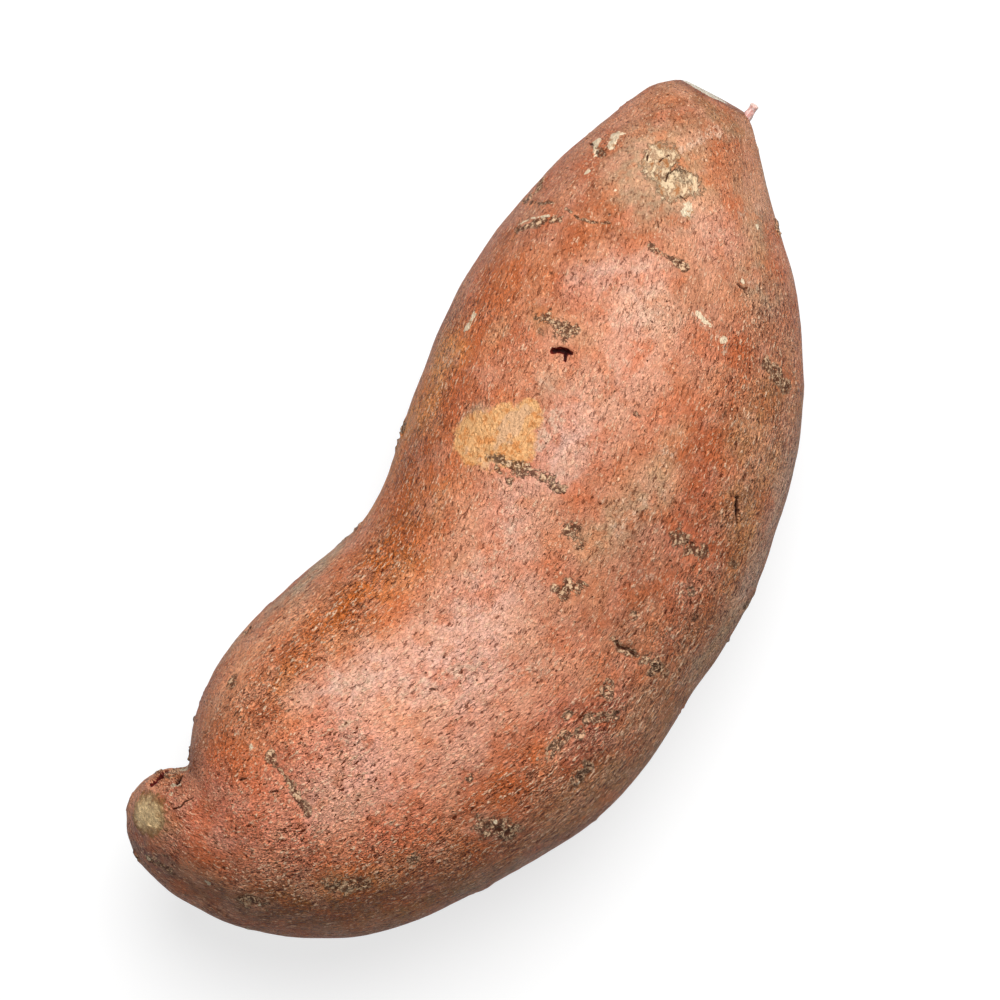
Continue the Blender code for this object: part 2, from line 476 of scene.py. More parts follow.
# Pits: pores that opened and healed. Flecks and crusts: dried sap and dead outer skin.
relief += 0.05 * lip_round("pit", 0.65, 0.3) - 0.25 * mound("pit", 0.5)
relief += mound("fleck", 0.6) * (0.12 + 0.16 * crumbs)
relief += mound("crust", 0.6) * (0.15 + 0.3 * crumbs)

# Stain: a bare place where the red outer skin is gone. Callus: the blunt root end's scar.
relief -= 0.1 * np.clip((0.56 - marked["stain"]) / 0.1, 0, 1)
relief += mound("callus", 0.75) * (0.1 + 0.2 * ragged + 0.2 * crumbs)

# Soft folds where the root bent as it swelled: height, width and run of plan points.
FOLDS = (
    (-0.4, 13, (-44, 25), (-33, 21.5), (-22, 19), (-12, 21), (-2, 24), (8, 27)),
    (0.3, 12, (-28, 29), (-14, 27)),
    (0.5, 10, (-28, 12), (-16, 11), (-6, 15)),
    (-0.4, 6, (-68, 24), (-66, 28)),
    (-0.9, 9, (-76, 35), (-79, 30), (-81, 24), (-81, 17)),
    (-0.8, 9, (-82, 14), (-80, 5), (-75, -5), (-62, -15)),
    (0.5, 16, (42, -25), (34, -30)), (0.4, 14, (-22, -37), (-34, -34)),
    (0.4, 9, (18, -34), (2, -36)), (0.4, 9, (60, -12), (50, -20)),
    (-0.5, 8, (-8, -22), (-22, -21), (-34, -17)),
    (-0.5, 9, (26, -14), (18, -20), (10, -24)),
    (0.5, 14, (20, -9), (10, -12)),
    (-0.5, 10, (60, 6), (50, -6)),
)
for height, width, *corners in FOLDS:
    run = lay_down(((width, *corners),), longest_step=3.0)[0][1]
    relief += height * hump(distance_from(points, run), width)

# Swells of the whole skin, and fine furrows that run along the grain.
run_of_grain = grain * (0.16, 1.0, 1.0)
relief += 0.35 * wander(points, 17.0, 5.0) + 0.16 * wander(points, 6.5, 9.0)
relief += 0.07 * wander(run_of_grain, 2.2, 2.0) + 0.05 * wander(run_of_grain, 0.9, 4.0)
relief += 0.035 * wander(points, 0.8, 6.0)

# The knife's cut is nearly flat, and the skin is smooth and tight round its edge. The side
# of the cut by the hair root has dried dark, up to a bowed line.
STEM_END = 70.0  # the cut and the smooth skin round it lie beyond this x
CUT_DEPTH = 0.2  # nearer the plane of the cut than this, all is flesh
RIM_REACH = 1.6
RIM_FLESH = 0.35
SMOOTH_REACH = 3.0
LEAST_RELIEF = 0.15
DRIED_LINE_Y = 13.6
DRIED_LINE_BOW = 0.06
DRIED_LINE_Z = 28.5
DRIED_FADE = 1.6
DRIED_FLESH = 0.3
stem_rim = rings[len(STEM_FACE_RINGS)] - rings[len(STEM_FACE_RINGS)].mean(axis=0)
cut_way = np.cross(stem_rim[0], stem_rim[SIDES // 4])
from_cut = np.abs((points - rings[0].mean(axis=0)) @ cut_way) / lengths(cut_way)
at_stem = points[:, 0] > STEM_END
flesh = np.where(at_stem, RIM_FLESH * hump(from_cut, RIM_REACH), 0.0)
flesh[at_stem & (from_cut < CUT_DEPTH)] = 1.0
dried_line = DRIED_LINE_Y + DRIED_LINE_BOW * (points[:, 2] - DRIED_LINE_Z) ** 2
flesh *= np.interp(points[:, 1] - dried_line, (0.0, DRIED_FADE), (DRIED_FLESH, 1.0))
relief *= np.where(at_stem, np.clip(from_cut / SMOOTH_REACH, LEAST_RELIEF, 1), 1)

bare_points = points.copy()
points = points + normals * relief[:, None]
points[:, 2] = np.maximum(points[:, 2], 0)
shape.vertices.foreach_set("co", (points * MM).astype(np.float32).ravel())
shape.update()
shape.shade_smooth()


def paint(red, green, blue):
    """A colour given as a painter's 0 to 255 steps, as the linear light it reflects."""
    steps = np.array((red, green, blue)) / 255
    return np.where(steps < 0.04045, steps / 12.92, ((steps + 0.055) / 1.055) ** 2.4)


# Colours of the dry skin, and where each one lies on the upper side: its strength, its
# width and its run of plan points. Later ones go over earlier ones. Some of them also paint
# light and shade: dark coats along the lower edge and thin even bark coats are painted
# shade, and pale coats on the limbs and the crown are partly painted sheen and painted
# highlight.
CLAY = paint(200, 124, 91)
ROSE = paint(222, 156, 127)
PETAL = paint(238, 178, 156)
PEACH = paint(240, 170, 128)
SAND = paint(212, 149, 116)
RUST = paint(200, 106, 58)
TAWNY = paint(216, 130, 78)
BRICK = paint(172, 88, 52)
OCHRE = paint(184, 126, 78)
DUST = paint(206, 158, 118)
ASH = paint(184, 156, 126)
BLUSH = paint(236, 134, 104)
MAUVE = paint(186, 110, 88)
SLATE = paint(146, 112, 104)
OLIVE = paint(156, 124, 74)
# Bark: dark brown, the skin's own dark patches, and in thin even coats a painted shade.
BARK = paint(122, 76, 44)
AMBER = paint(236, 144, 82)
UMBER = paint(158, 88, 28)
COPPER = paint(214, 112, 40)
GOLD = paint(250, 166, 92)
CORAL = paint(250, 142, 106)
CREAM = paint(244, 224, 190)
# Mist: pale pink, partly the skin's bloom and partly painted highlight and sheen.
MIST = paint(232, 188, 170)
PATCHES = (
    (ROSE, 0.7, 26, (-46, 4), (-36, 0), (-24, -4), (-12, 0), (0, 3), (14, 4), (26, 2)),
    (SAND, 0.8, 22, (-38, 14), (-26, 9), (-14, 7), (-2, 10), (4, 11)),
    (SAND, 0.7, 22, (30, 4), (42, 4), (54, 4)),
    (RUST, 1.0, 12, (-56, 27), (-44, 25.5), (-33, 24), (-21, 20.5), (-11, 21.5), (0, 24)),
    # Tawny coat along the upper limb: partly the skin's own colour and partly painted sheen that
    # lifts the limb.
    (TAWNY, 0.8, 8, (-8, 26), (4, 29), (20, 32)),
    (ROSE, 0.6, 20, (-64, 15), (-54, 8), (-50, -4)),
    (BLUSH, 0.8, 17, (-66, 24), (-63, 16), (-57, 6), (-52, -6)),
    (BLUSH, 0.6, 12, (-52, 22), (-50, 14)),
    (PETAL, 0.5, 17, (-46, 12), (-40, 13), (-30, 12)), (PETAL, 0.4, 12, (-46, 2), (-44, -4)),
    (PEACH, 0.4, 10, (-26, -20), (-8, -20)), (PEACH, 0.4, 10, (22, -26), (36, -22), (42, -13)),
    (BLUSH, 0.5, 10, (-12, -14), (-24, -17)), (BLUSH, 0.5, 8, (18, -20), (24, -18)),
    (SAND, 0.8, 8, (-42, 19), (-30, 17), (-25, 15)),
    (AMBER, 0.8, 15, (-52, 23), (-38, 21), (-28, 18.5), (-16, 18.5)),
    (RUST, 0.9, 12, (0, 24), (10, 26), (21, 28), (38, 28.5)),
    (RUST, 0.7, 9, (38, 24), (52, 21), (58, 15)),
    (BRICK, 0.5, 8, (-25, 20.5), (-18, 20), (-9, 23), (0, 26)),
    # Tawny and peach along the upper limb, in this and the next line: partly the skin's own colour
    # and partly painted sheen that lifts the limb.
    (TAWNY, 0.9, 10, (-8, 28), (4, 30), (18, 32)),
    (PEACH, 0.5, 8, (-6, 29), (4, 31), (18, 33)),
    (BRICK, 0.5, 9, (-53, 27), (-60, 22), (-70, 23), (-76, 20)),
    (MAUVE, 0.6, 8, (-55, 16), (-50, 26)),
    (RUST, 0.6, 8, (-63, 18), (-58, 23), (-52, 27)),
    (ROSE, 0.8, 10, (-60, 11), (-50, 8), (-44, 12)),
    (ROSE, 0.8, 10, (-46, 2), (-40, -6), (-50, -2), (-56, 5)),
    (ROSE, 0.7, 9, (-36, 1), (-32, -1)),
    (ROSE, 0.7, 8, (-25, -1), (-22, -3)),
    (ROSE, 0.8, 9, (-2, 5), (4, 7)),
    (ROSE, 0.9, 9, (14, 7), (22, 9)),
    (SAND, 0.6, 12, (-14, -4), (-14, -13), (-26, -10)),
    (DUST, 0.5, 8, (21, 11), (27, 4)),
    (ROSE, 0.8, 8, (42, 18), (45, 15)),
    (CLAY, 0.5, 12, (10, 1), (14, -5), (3, -3)),
    (RUST, 0.5, 8, (14, -4), (25, -7), (34, -8)),
    (DUST, 0.8, 9, (6, -8), (13, -10), (20, -12)),
    (DUST, 0.7, 6, (19, -12), (29, -10)),
    (BRICK, 0.8, 8, (46, -11), (38, -14), (28, -13)),
    (BRICK, 0.8, 6, (24, -15), (20, -18), (17, -24)),
    (MAUVE, 0.9, 8, (11, -15), (4, -13)),
    (OCHRE, 0.8, 10, (20, -28), (26, -24), (32, -20), (42, -19)),
    (OCHRE, 0.6, 8, (-14, -32), (-2, -31), (8, -31)),
    (ROSE, 0.6, 5, (8, -26), (10, -26)),
    (RUST, 0.5, 8, (-8, -25), (-1, -24)),
    (MAUVE, 0.8, 8, (-22, -19), (-17, -25), (-27, -24)),
    (RUST, 0.9, 7, (-38, -16), (-32, -18), (-28, -21)),
    (BRICK, 0.6, 7, (-40, -21), (-29, -24)),
    (OCHRE, 0.7, 8, (-36, -27), (-25, -30)),
    (MAUVE, 0.4, 7, (-45, -14), (-40, -12)),
    (CLAY, 0.7, 9, (-48, -8), (-58, 0), (-64, 1)),
    (BRICK, 0.6, 7, (-58, -8), (-58, -5)),
    (RUST, 0.7, 7, (-46, -21), (-52, -17)),
    (SAND, 0.6, 6, (-54, -12), (-56, -12)),
    # Dark brick and bark along the lower edge and round the tail end, in this and the next two
    # lines: partly the skin's own colour and partly painted shade.
    (BRICK, 0.7, 9, (-76, 18), (-75, 5), (-70, -4), (-64, -11)),
    (BARK, 0.8, 7, (-79, 12), (-78, 8), (-74, 0), (-68, -8)),
    (BARK, 0.6, 8, (-81, 26), (-82, 15), (-78, 4), (-72, -6)),
    (SLATE, 0.9, 9, (-79.5, 31), (-80.5, 27), (-81, 22)),
    (ROSE, 0.5, 6, (-70, 33), (-70, 34)),
    # Peach and ash along the upper limb, in this and the next line: partly the skin's own dusty
    # colour and partly painted sheen.
    (PEACH, 0.7, 12, (-54, 31), (-44, 31), (-34, 30)),
    (ASH, 1.0, 8, (-34, 32), (-24, 29.5), (-12, 28.5)),
    (DUST, 0.5, 4, (-8, 15), (-5, 18), (0, 20)),
    (OLIVE, 0.3, 4, (-12.5, 15), (-9, 6.5)),
    (ASH, 0.8, 4.5, (20.5, 13), (24, 13)),
    (OLIVE, 0.4, 5, (33, 21), (33.5, 12)),
    (DUST, 0.6, 4, (26, 26), (28.5, 25.5)),
    (DUST, 1.0, 15, (62, 18), (68, 17), (66, 12)), (CREAM, 0.3, 8, (62, 10), (61, 14)),
    (ASH, 0.9, 3.5, (11.5, 22.2), (13.5, 21.4)), (RUST, 0.7, 3, (17.5, 20), (20, 17)),
    (DUST, 0.8, 5, (77, 14), (79, 10)), (OCHRE, 0.8, 6, (79, 23), (78.5, 17), (79, 11)),
    (OCHRE, 0.9, 12, (44, -24), (30, -30), (12, -34), (-4, -35), (-20, -35), (-38, -30)),
    # The olive coat here darkens the lower edge, partly skin colour and partly painted shade; the
    # bark coat by the stem cut is painted shade.
    (OLIVE, 0.7, 9, (-50, -25), (-60, -18), (-68, -12)), (BARK, 0.4, 5, (80, 23), (79.5, 11)),
    (BRICK, 0.35, 14, (40, 22), (50, 24), (57, 20)), (DUST, 0.5, 8, (73, 20), (72, 8), (70, 4)),
    (ROSE, 0.5, 14, (30, 7), (42, 8), (48, 12)), (ROSE, 0.5, 14, (-20, -6), (-4, 2)),
    (CLAY, 0.7, 7, (73, 22), (77, 21)),
    (DUST, 0.8, 6, (58, -5), (58, -9), (66, -1)),
    (MAUVE, 0.7, 7, (-70, 27), (-76, 25)),
    # Olive, umber and bark along the lower edge, in this and the next three lines: partly the
    # skin's own colour and partly painted shade.
    (OLIVE, 0.5, 12, (-73, 2), (-66, -8), (-56, -17), (-46, -24)),
    (COPPER, 0.4, 14, (-66, -3), (-56, -12), (-42, -17)),
    (UMBER, 0.7, 14, (-78, 3), (-71, -6), (-62, -14), (-50, -20)),
    (BARK, 0.6, 11, (-81, 20), (-80, 12), (-78, 6)),
    # Thin bark coats in this and the next two lines darken all three channels evenly: painted
    # shade.
    (BARK, 0.3, 22, (46, 29), (58, 25), (60, 10), (54, 0)),
    (BARK, 0.3, 16, (77, 24), (74, 18), (72, 6)), (BARK, 0.35, 10, (-5, -12), (9, -13)),
    (BARK, 0.35, 9, (80, 24), (79, 12)), (BARK, 0.35, 9, (-4, -20), (3, -20)),
    (CORAL, 0.35, 20, (-65, 18), (-62, 4), (-54, -9), (-48, 4), (-44, 12)),
    (RUST, 0.5, 12, (-50, -14), (-46, -18), (-32, -20)), (RUST, 0.4, 9, (-58, 27), (-51, 28)),
    (PETAL, 0.4, 12, (-34, -7), (-24, -4)), (ASH, 0.35, 9, (-9, 4), (-3, 5)),
    (COPPER, 0.4, 12, (-26, 20), (-14, 20), (2, 20)),
    # Petal and cream coats along the crown, in this and the next three lines: partly the skin's own
    # pale bloom and partly a painted highlight where the lamp lights the top.
    (PETAL, 0.35, 14, (-42, 9), (-24, 7)), (PETAL, 0.4, 10, (-9, 5), (2, 5)),
    (PETAL, 0.45, 10, (5, 9), (2, 7)), (PETAL, 0.4, 11, (21, 9), (16, 7)),
    (PETAL, 0.35, 12, (24, 4), (40, 3)), (PETAL, 0.5, 9, (42, 19), (45, 16)),
    (CREAM, 0.25, 10, (46, 9), (43, 5)), (PETAL, 0.4, 11, (62, 6), (60, 2)),
    (ASH, 0.6, 9, (58, -5), (56, -10)), (ASH, 0.5, 8, (73, 1), (66, -1)),
    # The thin bark coat at the end of this line darkens evenly: painted shade.
    (ASH, 0.45, 10, (9, -9), (17, -10)), (BARK, 0.15, 13, (-10, -5), (24, -4)),
    (PEACH, 0.4, 9, (40, -12), (41, -13)), (PEACH, 0.4, 9, (-56, -12), (-55, -15)),
    # Thin bark coats in this and the next two lines darken evenly: painted shade, the middle one
    # where the light falls off towards the stem end.
    (BARK, 0.12, 14, (6, 5), (26, 10)),
    (BARK, 0.25, 16, (40, 20), (58, 18), (66, 21), (76, 20)),
    (BARK, 0.15, 12, (-24, 20), (-8, 20)),
    # Pale dust and gold along both limbs, in this and the next line: partly the skin's own colour
    # and partly painted sheen that lifts the limbs.
    (DUST, 0.6, 8, (22, -29), (34, -25)), (DUST, 0.6, 7, (-18, -29.5), (-6, -30)),
    (GOLD, 0.7, 12, (-8, 28), (4, 30), (20, 31)), (GOLD, 0.4, 9, (14, -31), (26, -28), (36, -26)),
    (COPPER, 0.6, 9, (-29, 22.5), (-22, 21), (-12, 22), (-4, 25)),
    (SAND, 0.6, 8, (-44, 20.5), (-36, 19), (-30, 18)),
    (ASH, 0.6, 10, (60, 17), (62.5, 21), (68, 23)),
    (ASH, 0.4, 9, (61, 20), (60, 14)), (ASH, 0.3, 9, (71, 17), (77, 13)),
    # Mist coats along the crown, in this and the next two lines: partly pale bloom and partly a
    # painted highlight.
    (MIST, 0.5, 14, (-26, 1), (-14, 1)), (MIST, 0.4, 9, (12, 6), (20, 6)),
    (MIST, 0.5, 10, (48, 10), (42, 8)), (MIST, 0.6, 9, (-38, 14), (-33, 12)),
    (MIST, 0.45, 8, (-42, 19), (-38, 17)), (MIST, 0.4, 7, (42, 18), (46, 16)),
    # Pale coats along the lower limb, in this and the next line: partly the skin's own dusty colour
    # and partly painted sheen.
    (PETAL, 0.5, 8, (12, -33.5), (22, -31.5), (34, -28), (39, -25.5)),
    (DUST, 0.4, 7, (-6, -33.5), (4, -33.5)),
    # The ash coat on the upper limb: partly the skin's own colour and partly painted sheen.
    (ASH, 0.5, 7, (-27, 29), (-18, 28)), (BRICK, 0.4, 7, (-61, 30), (-56, 30)),
    # The thin bark coats at the ends of this line and the next darken evenly: painted shade.
    (MAUVE, 0.5, 6, (-69, 30), (-67, 28)), (BARK, 0.2, 13, (66, 29), (76, 24)),
    (RUST, 0.4, 8, (31, 32), (43, 33)), (BARK, 0.15, 9, (61, -6), (66, -2)),
    # The bark coat at the end of this line, and the umber and bark in the next two lines: a painted
    # shadow under the scab on the tail's lower edge, and partly painted shade along that edge.
    (BRICK, 0.45, 8, (22, -16.5), (28, -17)), (BARK, 0.45, 9, (-79, 10), (-77, 5)),
    (UMBER, 0.5, 9, (-76, 2), (-72, -6), (-66, -12)), (UMBER, 0.35, 9, (-79, 18), (-79, 12)),
    (BARK, 0.3, 6, (-79, 30), (-79.5, 26)),
    # Cream and dust along the lower limb: partly the skin's own colour and partly painted sheen.
    (CREAM, 0.35, 9, (14, -33.5), (22, -32), (34, -28.5)), (DUST, 0.4, 7, (-28, -31.5), (-16, -33)),
    # The bark coat by the stem cut darkens evenly, a painted shade; the ash coat on the upper limb
    # is partly painted sheen.
    (BARK, 0.25, 8, (78, 24), (75, 23)), (ASH, 0.5, 6, (-24, 29), (-20, 28.5)),
    (OLIVE, 0.35, 6, (-75.5, 27.5), (-74, 27)), (BRICK, 0.35, 6, (-69, 30), (-67, 29)),
    # The bark coat at the tail's lower edge is a painted shadow under the scab there.
    (ASH, 0.35, 8, (61.5, 21), (60, 15)), (BARK, 0.7, 6, (-78.5, 9.5), (-77, 6)),
    # Mist and petal coats along the crown, in this and the next three lines: partly pale bloom and
    # partly a painted highlight; the mist on the lower limb is painted sheen.
    (MIST, 0.4, 12, (-55, 6), (-47, 3)), (MIST, 0.3, 16, (-28, 3), (-14, 2)),
    (MIST, 0.3, 10, (14, 5), (18, 7)), (MIST, 0.3, 9, (-37, 14), (-33, 12)),
    (MIST, 0.4, 8, (14, -33), (22, -32.5), (35, -28)), (GOLD, 0.35, 9, (-62, -8), (-66, -3)),
    (PETAL, 0.35, 12, (-54, 5), (-49, 3)), (PETAL, 0.3, 14, (-26, 1), (-14, 1)),
    (BRICK, 0.25, 8, (21, -16), (27, -17)),
    (SLATE, 0.5, 8, (-44.5, -18.5), (-43.4, -22)), (BARK, 0.3, 7, (-67, -2), (-65, -5)),
    # Umber and bark along the lower edge and tail end, in this and the next two lines: partly the
    # skin's own colour and partly painted shade, with a painted shadow under the tail's scab.
    (UMBER, 0.24, 10, (-78, 6), (-72, -2), (-64, -9), (-47, -23), (-33, -29)),
    (BARK, 0.35, 7, (-82.5, 20), (-82, 14)), (BARK, 0.3, 7, (-78.5, 7), (-77, 4)),
    (BARK, 0.25, 7, (-75, -4), (-72, -9)), (RUST, 0.25, 9, (-58, -14), (-52, -19)),
    (MAUVE, 0.4, 8, (-68, 26), (-65, 22)), (UMBER, 0.3, 7, (-60, 30), (-56, 30.5)),
    (UMBER, 0.3, 8, (34, 32.5), (41, 33)), (PETAL, 0.3, 8, (-70, 18), (-66, 17)),
    # The cream coat on the lower limb is partly painted sheen; the thin bark coats here and in the
    # next line darken evenly, a painted shade.
    (CREAM, 0.3, 8, (-3, -33.5), (8, -33.5)), (BARK, 0.3, 7, (62, 20), (60, 15)),
    (BARK, 0.15, 8, (44, 17), (43, 16)), (BARK, 0.2, 8, (74, 15), (76, 13)),
)
# Where the skin is roughest: how much rougher, width and run of plan points.
ROUGH_SKIN = (
    (1.0, 15, (-50, 27), (-40, 26), (-31, 24), (-18, 21), (-8, 23), (6, 28), (24, 33)),
    (1.3, 26, (-72, 6), (-64, -6), (-50, -18), (-32, -27), (-8, -31), (15, -31), (36, -26)),
    (0.6, 20, (-60, 20), (-50, 10), (-56, 0)),
    (0.8, 22, (52, -14), (36, -22)),
    (0.7, 9, (-66, 30), (-72, 28), (-78, 24)),
)
# Dry pale scuffs, which catch only the high grains of the skin: strength, width, run.
SCUFFS = (
    (0.9, 6, (-38, 15.5), (-35.5, 12.5)), (0.8, 7, (-33, 6), (-30, 3)),
    (0.9, 6, (-25, 0), (-22, -2)), (0.8, 7, (-5, 5), (2, 6)), (0.6, 6, (-9, 2), (-7, 7)),
    (1.0, 5, (14, 10), (20, 10)), (0.7, 6, (12, 4), (18, 3)), (0.8, 6, (40, 10), (46, 4)),
    (0.8, 5, (-45, 7), (-43, 13)), (0.6, 8, (30, 6), (38, 4)), (0.9, 3, (69, 17), (76, 13)),
    (0.8, 4, (48, -1), (46, -8)), (0.7, 4, (44, 5), (46, 8)), (0.7, 4, (58, -4), (57, -9)),
    (0.7, 5, (-20, -8), (-16, -12)), (0.5, 8, (55, 3), (62, 4)), (0.7, 5, (10, -9), (20, -13)),
    (0.6, 4, (24, -10), (29, -9)), (0.6, 5, (-56, 3), (-50, -3)), (0.8, 3, (-30, 30), (-20, 28.5)),
    (0.8, 3, (66, 2), (69, 0)), (0.5, 5, (24, 14), (28, 22)), (0.6, 4, (-28, -13), (-34, -15)),
    (0.7, 4, (5, -16), (8, -26)), (0.5, 6, (-66, 8), (-60, 2)),
)

skin_colour = np.tile(CLAY, (count, 1))
warp = wander(points, 6.0, 21.0) + 0.5 * wander(points, 2.5, 23.0)


def brush(colour, share, where=slice(None)):
    skin_colour[where] += share[:, None] * (colour - skin_colour[where])


def around(width, corners, raggedness):
    """The points round a run of plan points, and their distance from it in widths."""
    run = lay_down(((width, *corners),), longest_step=4.0)[0][1]
    close = near(bare_points, run, width)
    gap = distance_from(bare_points[close], run) / width
    return close, gap + raggedness * warp[close]


# The sides and underside have the same colours in large drifting patches: the seed and
# size of each drift, its colour and its strength.
DRIFTS = ((31, 24, RUST, 0.7), (33, 19, ROSE, 0.7), (35, 13, OCHRE, 0.6), (37, 9, DUST, 0.4))
for seed, size, colour, strength in DRIFTS:
    drift = wander(points, size, seed) + 0.3 * warp
    sideness = np.clip(0.95 - normals[:, 2], 0.05, 1)
    brush(colour, strength * np.clip(3 * drift - 0.3, 0, 1) * sideness)

for colour, strength, width, *corners in PATCHES:
    close, gap = around(width, corners, 0.2)
    brush(colour, strength * hump(gap, 0.75), close)

# Grit is how coarse the grain is: finer to the stem end, coarser down the sides, and
# hardly there on the marks, which have a grain of their own.
grit = np.interp(points[:, 0], (-15, 80), (1.02, 0.75)) + 0.5 * (1 - normals[:, 2])
for strength, width, *corners in ROUGH_SKIN:
    close, gap = around(width, corners, 0.15)
    grit[close] = np.maximum(grit[close], 0.9 + strength * hump(gap, 0.8))
grit *= 1 + 0.25 * wander(points, 8.0, 41.0)
for name in ("scab", "ring", "crust", "callus"):
    grit *= np.clip(marked[name] / 0.8, 0.3, 1)

scuff = np.zeros(count)
for strength, width, *corners in SCUFFS:
    close, gap = around(width, corners, 0.15)
    scuff[close] = np.maximum(scuff[close], strength * hump(gap, 0.8))


def keep_layer(name, values):
    layer = shape.attributes.new(name, "FLOAT", "POINT")
    layer.data.foreach_set("value", values.astype(np.float32))


def keep_colour(name, values):
    layer = shape.attributes.new(name, "FLOAT_COLOR", "POINT")
    colours = np.hstack((values, np.ones((len(values), 1))))
    layer.data.foreach_set("color", colours.astype(np.float32).ravel())


keep_colour("skin_colour", skin_colour)
for name, values in {**marked, "flesh": flesh, "grit": grit, "scuff": scuff}.items():
    keep_layer(name, values)


class Level:
    """A number, vector or colour that a node gives at each place of a finish."""

    def __init__(self, finish, socket):
        self.finish = finish
        self.socket = socket

    def __add__(self, other):
        return self.finish.add("Math", {0: self, 1: other}, operation="ADD")

    def __sub__(self, other):
        return self + other * -1

    def __mul__(self, other):
        return self.finish.add("Math", {0: self, 1: other}, operation="MULTIPLY")

    def scaled(self, scale):
        return self.finish.add("VectorMath", {0: self, "Scale": scale}, operation="SCALE")

    def stretched(self, by):
        return self.finish.add("VectorMath", {0: self, 1: by}, operation="MULTIPLY")

    def shifted(self, by):
        return self.finish.add("VectorMath", {0: self, 1: by}, operation="ADD")

    def rising(self, low, high):
        """0 below low, 1 above high and smooth between them."""
        inputs = {"Value": self, "From Min": low, "From Max": high}
        return self.finish.add("MapRange", inputs, interpolation_type="SMOOTHSTEP")

    def falling(self, low, high):
        """1 below low, 0 above high and smooth between them."""
        inputs = {"Value": self, "From Min": low, "From Max": high, "To Min": 1.0, "To Max": 0.0}
        return self.finish.add("MapRange", inputs, interpolation_type="SMOOTHSTEP")

    def line(self, width):
        """1 along the thin winding lines where soft noise crosses its middle."""
        away = self.finish.add("Math", {0: self - 0.5}, operation="ABSOLUTE")
        return away.falling(width * 0.3, width)

    def held(self, low, high):
        """The same, kept between low and high."""
        return self.finish.add("Clamp", {"Value": self, "Min": low, "Max": high})


class Finish:
    """A material, with short calls for the nodes that its colour and relief come from."""

    def __init__(self, name):
        self.material = bpy.data.materials.new(name)
        self.material.use_nodes = True
        self.tree = self.material.node_tree
        self.shader = self.tree.nodes["Principled BSDF"]
        self.colour = None

    def feed(self, socket, value):
        """Links a level to the socket, or sets a number or a painted colour on it."""
        if isinstance(value, Level):
            self.tree.links.new(value.socket, socket)
        elif isinstance(value, np.ndarray):
            socket.default_value = (*value, 1)
        else:
            socket.default_value = value

    def add(self, kind, inputs, output=0, **settings):
        node = self.tree.nodes.new("ShaderNode" + kind)
        for name, value in settings.items():
            setattr(node, name, value)
        for key, value in inputs.items():
            self.feed(node.inputs[key], value)
        return Level(self, node.outputs[output])

    def layer(self, name, output="Fac"):
        return self.add("Attribute", {}, output, attribute_name=name)

    def place(self):
        """Where the surface is, in millimetres."""
        return self.add("TexCoord", {}, "Object").scaled(1 / MM)

    def grains(self, where, size, detail=2.0, roughness=0.6):
        """Soft noise around 0.5, with grains of the given size in millimetres."""
        inputs = {"Vector": where, "Scale": 1 / size, "Detail": detail, "Roughness": roughness}
        return self.add("TexNoise", inputs)

    def cells(self, where, size):
        """Cells of the given size: how far from a cell's middle, and the cell's luck."""
        inputs = {"Vector": where, "Scale": 1 / size}
        chance_colour = self.add("TexVoronoi", inputs, "Color")
        luck = self.add("SeparateColor", {0: chance_colour}, 0)
        return self.add("TexVoronoi", inputs, "Distance"), luck

    def mixed(self, share, first, second):
        return self.add("Mix", {0: share, 6: first, 7: second}, 2, data_type="RGBA")

    def coat(self, tint, share):
        """Lays a tint over the colour so far, as strongly as the share says."""
        self.colour = self.mixed(share, self.colour, tint)


skin = Finish("skin")
place = skin.place()
grain_way = skin.layer("grain", "Vector")
grit_layer = skin.layer("grit")

# Blotches of the thin outer skin: pink where it is whole, rusty where it wore thin.
skin.colour = skin.layer("skin_colour", "Color")
blotch = skin.grains(place, 4.2, 3.0, 0.55)
skin.coat(ROSE, blotch.rising(0.5, 0.64) * 0.4)
skin.coat(RUST, blotch.falling(0.36, 0.48) * 0.4)
cloud = skin.grains(place.shifted((0, 50, 0)), 8.0, 3.0, 0.55)
skin.coat(PEACH, cloud.rising(0.5, 0.62) * 0.25)
skin.coat(paint(206, 104, 58), cloud.falling(0.38, 0.5) * 0.35)
mottle = skin.grains(place.shifted((50, 0, 0)), 1.3, 3.0, 0.65)
skin.coat(BRICK, mottle.falling(0.34, 0.47) * 0.2)

# Fine grain, drawn out along the body, with thin dark winding cracks between its ridges.
shake = skin.add("TexNoise", {"Vector": place, "Scale": 1.6, "Detail": 1.0}, 1).scaled(0.55)
loose_grain = grain_way.shifted(shake)
drawn_out = loose_grain.stretched((0.5, 1, 1))
streaks = skin.grains(grain_way.stretched((0.35, 1, 1)), 2.4, 2.0)
fibres = skin.grains(drawn_out, 0.75, 3.0, 0.7)
granules = skin.grains(drawn_out, 0.42, 1.0, 0.7)
fine = skin.grains(loose_grain.stretched((0.28, 1, 1)), 0.5, 2.0, 0.75)
swing = fibres * 1.1 + granules * 3.4 + streaks * 0.5 - 2.5
crack = fibres.line(0.08) * granules.rising(0.5, 0.56)
# Peaks of the grain painted lighter and its hollows darker, following the same noise as the bump
# below: painted highlight and painted shade of the fine relief, over the skin's own streaky tone.
peaks = granules.rising(0.54, 0.64)
hollows = granules.falling(0.36, 0.46)
grain_light_and_shade = peaks * 0.5 - hollows
tone_and_grain_shading = (swing * 0.3 + grain_light_and_shade * 0.2) * grit_layer
skin.colour = skin.colour.scaled((tone_and_grain_shading + 1.11).held(0.4, 1.3))
# A pale coat on the peaks of the grain: painted highlight.
skin.coat(paint(250, 196, 150), peaks * swing.rising(0.2, 1.0) * grit_layer * 0.38)
dry = swing * 0.4 + mottle * 2.0 + skin.layer("scuff") - 1.0
skin.coat(paint(232, 196, 168), dry.rising(0.55, 1.25) * 0.75)
skin.coat(paint(92, 40, 20), crack * grit_layer * 0.4)

